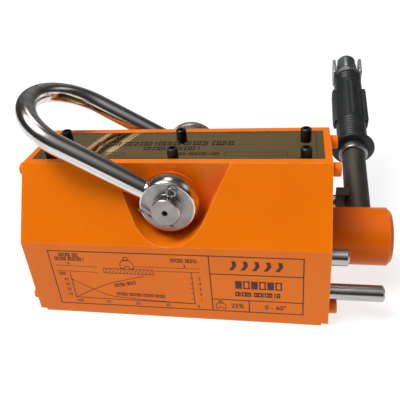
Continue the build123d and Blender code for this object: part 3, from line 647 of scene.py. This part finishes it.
def make_guard():
    """A steel ring at the grip's end with two upright blades that shield the button."""
    bm = bmesh.new()
    bore, outer = 7.2 * MM, 12.9 * MM
    low, high = 197.0 * MM, 203.0 * MM
    groove = 0.5 * MM
    profile = [(bore, low), (outer, low)]
    for at in (199.0, 201.2):
        profile += [(outer, (at - 0.45) * MM), (outer - groove, at * MM), (outer, (at + 0.45) * MM)]
    profile += [(outer, high - 0.5 * MM), (outer - 0.5 * MM, high), (bore, high), (bore, low)]
    lathe(bm, profile, LEVER_FRAME, AROUND)
    bmesh.ops.remove_doubles(bm, verts=bm.verts, dist=1e-7)
    blade_low, blade_high, width, span, thick = 197.6, 221.0, 19.0, 28.0, 2.8
    for side in (-1, 1):
        turn = Matrix.Rotation(radians(90) * side, 4, "Y")
        centre = Matrix.Translation((0, 0, (blade_low + blade_high) / 2 * MM))
        outline = rectangle((blade_high - blade_low) * MM, width * MM, 3.2 * MM, 6)
        slab(bm, outline, LEVER_FRAME @ centre @ turn, (span / 2 - thick) * MM, span / 2 * MM, 0.5 * MM)
    blades = add_mesh("guard_blades", bm, "rotor", MATERIALS["guard_steel"])
    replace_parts(blades, "button_guard")


def make_button():
    """The domed release button: a stem hollowed for the spring, a bright collar and a smooth dome."""
    bm = bmesh.new()
    cup, stem, collar, body = 6.0, 6.9, 10.7, 10.2
    stem_low, cup_floor, collar_low, collar_high, straight_end = 188.0, 190.3, 205.3, 207.3, 221.8
    flat = 0.6
    profile = [(0, cup_floor), (cup, cup_floor), (cup, stem_low), (stem, stem_low), (stem, collar_low)]
    profile += [(collar - 0.4, collar_low), (collar, collar_low + 0.4), (collar, collar_high - 0.5)]
    profile += [(collar - 0.15, collar_high - 0.15), (body, collar_high), (body, straight_end)]
    for k in range(1, 17):
        angle = radians(90) * k / 16
        profile.append((flat + (body - flat) * cos(angle), straight_end + (body - flat) * sin(angle)))
    profile[-1] = (flat, straight_end + body - flat)
    profile.append((0, profile[-1][1]))
    lathe(bm, [(r * MM, h * MM) for r, h in profile], LEVER_FRAME, AROUND)
    for face in bm.faces:
        level = (LEVER_FRAME.inverted() @ face.calc_center_median()).z / MM
        if collar_low < level < collar_high:
            face.material_index = 1
    button = add_mesh("dome_button", bm, "latch", MATERIALS["button_chrome"])
    button.data.materials.append(MATERIALS["polished_steel"])
    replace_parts(button, "release_button")


make_ferrule()
make_grip()
make_guard()
make_button()

# ---------------------------------------------------------------- printed panel and nameplate lines

PROUD = 0.03 * MM
# Height of the built-in face's figures, as a share of its size
FIGURE_HEIGHT = 0.7


class Print:
    """Thin raised marks on a flat face; places are in mm along the face's own two axes."""

    def __init__(self, place):
        self.bm = bmesh.new()
        self.place = place

    def patch(self, corners):
        """A filled shape, as thin as ink, sunk a little into the face below."""
        rings = []
        for level in (-PROUD, PROUD):
            spots = [self.place @ Vector((u * MM, v * MM, level)) for u, v in corners]
            rings.append([self.bm.verts.new(spot) for spot in spots])
        count = len(corners)
        for k in range(count):
            j = (k + 1) % count
            self.bm.faces.new((rings[0][k], rings[0][j], rings[1][j], rings[1][k]))
        self.bm.faces.new(list(reversed(rings[0])))
        self.bm.faces.new(rings[1])

    def line(self, points, width, closed=False):
        """A stroke of even width, one four-sided patch for each run, long enough to fill its corners."""
        runs = list(zip(points, points[1:] + points[:1] if closed else points[1:]))
        for a, b in runs:
            a, b = Vector(a), Vector(b)
            along = (b - a).normalized() * width / 2
            across = Vector((-along.y, along.x))
            near = (a - along - across, b + along - across)
            far = (b + along + across, a - along + across)
            self.patch([tuple(corner) for corner in near + far])

    def curve(self, points, width, steps=8):
        """A smooth stroke through points, as a Catmull-Rom curve."""
        ends = [points[0]] + points + [points[-1]]
        smooth = []
        for i in range(1, len(ends) - 2):
            p0, p1, p2, p3 = (Vector(p) for p in ends[i - 1:i + 3])
            for s in range(steps):
                t = s / steps
                spot = 0.5 * (2 * p1 + (p2 - p0) * t + (2 * p0 - 5 * p1 + 4 * p2 - p3) * t**2
                              + (3 * p1 - p0 - 3 * p2 + p3) * t**3)
                smooth.append(tuple(spot))
        self.line(smooth + [points[-1]], width)

    def box(self, low, high, width):
        """The outline of a rectangle between two opposite corners."""
        self.line([low, (high[0], low[1]), high, (low[0], high[1])], width, closed=True)

    def dashes(self, start, end, height, weight):
        """A row of plain strokes and frames in place of a line of words."""
        start, end = Vector(start), Vector(end)
        along = (end - start).normalized()
        up = Vector((-along.y, along.x)) * height
        bar = height * weight
        # The widths and gaps are shares of the height; every fifth gap is a wide one
        widths = (0.62, 0.5, 0.7, 0.5)
        narrow_gap, wide_gap = 0.36, 0.75
        done, k = 0, 0
        while done < (end - start).length - height * 0.5:
            a = start + along * done
            b = a + along * height * widths[k % 4]
            frame_line = [tuple(p) for p in (a, b, b + up, a + up)]
            if k % 3 == 1:
                self.line([frame_line[0], frame_line[3]], bar)
                done += bar * 0.6
            else:
                self.line(frame_line, bar, closed=True)
                done += height * widths[k % 4]
            done += height * (wide_gap if k % 5 == 4 else narrow_gap)
            k += 1

    def figure(self, text, at, height, bold=0.0):
        """Figures in the built-in face, centred at a place and as high as height."""
        data = bpy.data.curves.new("figure", "FONT")
        data.body = text
        data.size = height * MM / FIGURE_HEIGHT
        data.extrude = PROUD
        data.offset = bold * MM
        data.align_x = "CENTER"
        shape = bpy.data.objects.new("figure", data)
        mesh = bpy.data.meshes.new_from_object(shape)
        mesh.transform(self.place @ Matrix.Translation((at[0] * MM, at[1] * MM, 0)))
        self.bm.from_mesh(mesh)
        bpy.data.objects.remove(shape)
        bpy.data.curves.remove(data)
        bpy.data.meshes.remove(mesh)

    def finish(self, name, material):
        """Makes one object of all the marks."""
        bmesh.ops.remove_doubles(self.bm, verts=self.bm.verts, dist=1e-7)
        return add_mesh(name, self.bm, "housing", material)


def magnet_sign(marks, u, v, size, width):
    """A small outline of a lifting magnet: a body on two feet, with a ring on top."""
    outline = [(-5, -4), (-5, 0.5), (-3, 3.4), (3, 3.4), (5, 0.5), (5, -4)]
    outline += [(2.4, -4), (1.2, -2), (-1.2, -2), (-2.4, -4)]
    marks.line([(u + x * size, v + y * size) for x, y in outline], width, closed=True)
    ring = []
    for k in range(12):
        angle = 2 * pi * k / 12
        ring.append((u + 1.6 * size * cos(angle), v + (5 + 1.6 * sin(angle)) * size))
    marks.line(ring, width, closed=True)


def make_panel():
    """The printed chart and table on the front face; places are (along, above the pole faces)."""
    face = Matrix(((1, 0, 0), (0, 0, 1), (0, -1, 0))).transposed().to_4x4()
    marks = Print(Matrix.Translation((0, FRONT_Y, 0)) @ face)
    thick, thin, hair = 0.85, 0.5, 0.4
    marks.line([(-92.8, 60), (94.4, 60), (94.4, 9.5), (-92.8, 9)], thick, closed=True)
    marks.line([(28.6, 60), (28.6, 9.3)], thick)
    marks.line([(28.6, 44.1), (94.4, 44.1)], thick)
    marks.line([(28.6, 20.5), (94.4, 20.5)], thick)
    marks.line([(55.8, 20.5), (55.8, 9.4)], thick)
    marks.line([(-79.2, 39.6), (-79.4, 15.5), (15.3, 14.8), (15.1, 44.6)], 0.6)
    marks.curve([(-79.4, 15.5), (-62.8, 24.3), (-47.1, 31.5), (-20.9, 39.1)], thin)
    falling = [(-79.6, 33.4), (-62.8, 24.3), (-50.4, 18.7), (-27.3, 16.3), (-5, 15.4), (15, 14.8)]
    marks.curve(falling, thin)
    marks.box((-51.8, 40.9), (-13.4, 45.2), thin)
    for k in range(13):
        u = -51 + 2.85 * k
        marks.line([(u, 41.1), (u + 2.6, 45)], hair)
    magnet_sign(marks, -33, 49.6, 1, 0.55)
    for start, end in (
        ((-88.9, 46.6), (-56.9, 45.9)),
        ((-89.2, 41.3), (-57, 41)),
        ((-27.4, 47.8), (21.1, 48.1)),
        ((-12, 44.4), (21.1, 44.7)),
    ):
        marks.line([start, end], hair)
    for u, v in ((-78.5, 48), (10.5, 49.4)):
        marks.line([(u, v), (u, v + 3.4)], hair)
        marks.patch([(u - 0.9, v + 1), (u, v - 0.8), (u + 0.9, v + 1)])
    for k in range(4):
        level = 18.5 + 4.9 * k
        marks.line([(-79.4, level), (-77.6, level)], hair)
        marks.figure(str(10 * (k + 1)), (-83.6, level - 1.3), 2.7, 0.06)
    marks.dashes((-88, 37.6), (-81.5, 37.6), 2.2, 0.24)
    for k in range(5):
        u = -79.4 + 23.7 * k
        marks.line([(u, 15.4), (u, 17)], hair)
        marks.figure(str(100 - 25 * k), (u + 2.5, 10.9), 2.7, 0.06)
    for k in range(5):
        level = 19.5 + 4.9 * k
        marks.line([(15.2, level), (13.4, level)], hair)
        marks.figure(str(k + 1), (20.6, level - 1.3), 2.7, 0.06)
    marks.dashes((-84.5, 55.3), (-70, 55.3), 2.5, 0.26)
    marks.dashes((-88.5, 51.6), (-64.5, 51.6), 2.5, 0.26)
    marks.dashes((1, 53.6), (20, 53.6), 2.5, 0.26)
    marks.dashes((-45, 27.8), (-28, 31.6), 2.3, 0.26)
    marks.dashes((-45, 19.8), (-8, 19.3), 2.3, 0.26)
    for k in range(5):
        u = 42.5 + 8.1 * k
        chevron = [(0, 48.2), (2.9, 48.2), (5.6, 52.2), (4.9, 56.2), (2, 56.2), (2.7, 52.2)]
        marks.patch([(u + x, v) for x, v in chevron])
    for k in range(6):
        u = 46.4 + 5.7 * k
        if k % 2:
            marks.box((u + 0.5, 31.9), (u + 4.2, 38.1), 1.0)
        else:
            marks.patch([(u, 31.4), (u + 4.7, 31.4), (u + 4.7, 38.6), (u, 38.6)])
    marks.dashes((46.5, 24.8), (79, 24.8), 3.1, 0.3)
    magnet_sign(marks, 34.8, 14.4, 0.72, 0.55)
    marks.figure("25%", (47.2, 12.9), 4, 0.12)
    marks.figure("0 - 60°", (75, 12.9), 4, 0.12)
    marks.finish("front_panel_print", PANEL_INK)


def make_nameplate_lines():
    """A fine border and plain engraved rows on the mirror nameplate."""
    low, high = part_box("nameplate")
    marks = Print(Matrix.Translation((0, 0, high[2])))
    u, v = high[0] / MM - 5, high[1] / MM - 1.3
    marks.box((-u, -v), (u, v), 0.55)
    marks.dashes((-64, 0.3), (42, 0.3), 5.2, 0.26)
    marks.dashes((-24, -8.2), (22, -8.2), 4.6, 0.26)
    marks.dashes((-2, -16.6), (34, -16.6), 3.2, 0.26)
    marks.box((-62, -17.6), (-38, -12.6), 0.45)
    marks.box((38, -18.4), (82, -12.6), 0.45)
    marks.finish("nameplate_lines", ENGRAVING)


make_panel()
make_nameplate_lines()

# ---------------------------------------------------------------- camera and light

camera_data = bpy.data.cameras.new("camera")
camera_data.sensor_width = 36
camera_data.lens = 45.88
camera_data.clip_start = 0.01
camera = bpy.data.objects.new("camera", camera_data)
bpy.context.scene.collection.objects.link(camera)
YAW, PITCH, ROLL = radians(12.5), radians(-30.63), radians(-5.61)
camera.location = (0.0888, -0.3410, 0.2755)
camera.matrix_world = (
    Matrix.Translation(camera.location)
    @ Matrix.Rotation(YAW, 4, "Z")
    @ Matrix.Rotation(radians(90) + PITCH, 4, "X")
    @ Matrix.Rotation(ROLL, 4, "Z")
)
bpy.context.scene.camera = camera
bpy.context.scene.view_settings.view_transform = "Standard"


def make_studio():
    """A dim room round a white table, with one strong soft light overhead and weaker ones round it."""
    world = bpy.data.worlds.new("studio")
    bpy.context.scene.world = world
    world.use_nodes = True
    tree = world.node_tree

    def node(kind, inputs, **settings):
        made = tree.nodes.new(kind)
        for key, value in settings.items():
            setattr(made, key, value)
        for key, value in inputs.items():
            if isinstance(value, bpy.types.NodeSocket):
                tree.links.new(value, made.inputs[key])
            else:
                made.inputs[key].default_value = value
        return made

    ray = tree.nodes.new("ShaderNodeTexCoord").outputs["Generated"]
    level = node("ShaderNodeSeparateXYZ", {"Vector": ray}).outputs["Z"]
    # Brighter at the horizon than above it
    heights = {"From Min": 0.0, "From Max": 0.2}
    strengths = {"To Min": 0.14, "To Max": 0.04}
    inputs = {"Value": level} | heights | strengths
    made = node("ShaderNodeMapRange", inputs, interpolation_type="SMOOTHSTEP")
    glow = made.outputs["Result"]
    # Each light: its direction, how tightly it is gathered there, and its strength
    for towards, gather, strength in (
        ((-0.37, -0.15, 0.92), 40, 20.6),
        ((0.1, -0.3, 0.9), 10, 0.55),
        ((-0.1, 0.42, 0.9), 120, 4.5),
        ((0.75, 0.35, 0.55), 60, 0.8),
        ((-0.2, 0.9, 0.42), 8, 0.2),
    ):
        inputs = {0: ray, 1: Vector(towards).normalized()}
        near = node("ShaderNodeVectorMath", inputs, operation="DOT_PRODUCT").outputs["Value"]
        facing = node("ShaderNodeMath", {0: near, 1: 0.0}, operation="MAXIMUM").outputs[0]
        lobe = node("ShaderNodeMath", {0: facing, 1: gather}, operation="POWER").outputs[0]
        inputs = {0: lobe, 1: strength, 2: glow}
        glow = node("ShaderNodeMath", inputs, operation="MULTIPLY_ADD").outputs[0]
    # The backdrop behind the object is plain white
    seen = tree.nodes.new("ShaderNodeLightPath").outputs["Is Camera Ray"]
    strength = node("ShaderNodeMix", {0: seen, 2: glow, 3: 1.0}).outputs[0]
    background = tree.nodes["Background"]
    background.inputs["Color"].default_value = (1, 0.995, 0.99, 1)
    tree.links.new(strength, background.inputs["Strength"])


def make_floor():
    """A wide white table top at the height of the pole faces."""
    bm = bmesh.new()
    bmesh.ops.create_grid(bm, x_segments=1, y_segments=1, size=4)
    mesh = bpy.data.meshes.new("floor")
    bm.to_mesh(mesh)
    bm.free()
    floor = bpy.data.objects.new("floor", mesh)
    bpy.context.scene.collection.objects.link(floor)
    s = Shader("floor", Roughness=0.7, Specular_IOR_Level=0.1)
    s.link(s.ramp(s.noise(3), (0.3, (0.26, 0.26, 0.26)), (0.7, (0.28, 0.28, 0.28))), "Base Color")
    s.main.inputs["Emission Color"].default_value = (1, 1, 1, 1)
    s.main.inputs["Emission Strength"].default_value = 0.78
    mesh.materials.append(s.material)


make_studio()
make_floor()
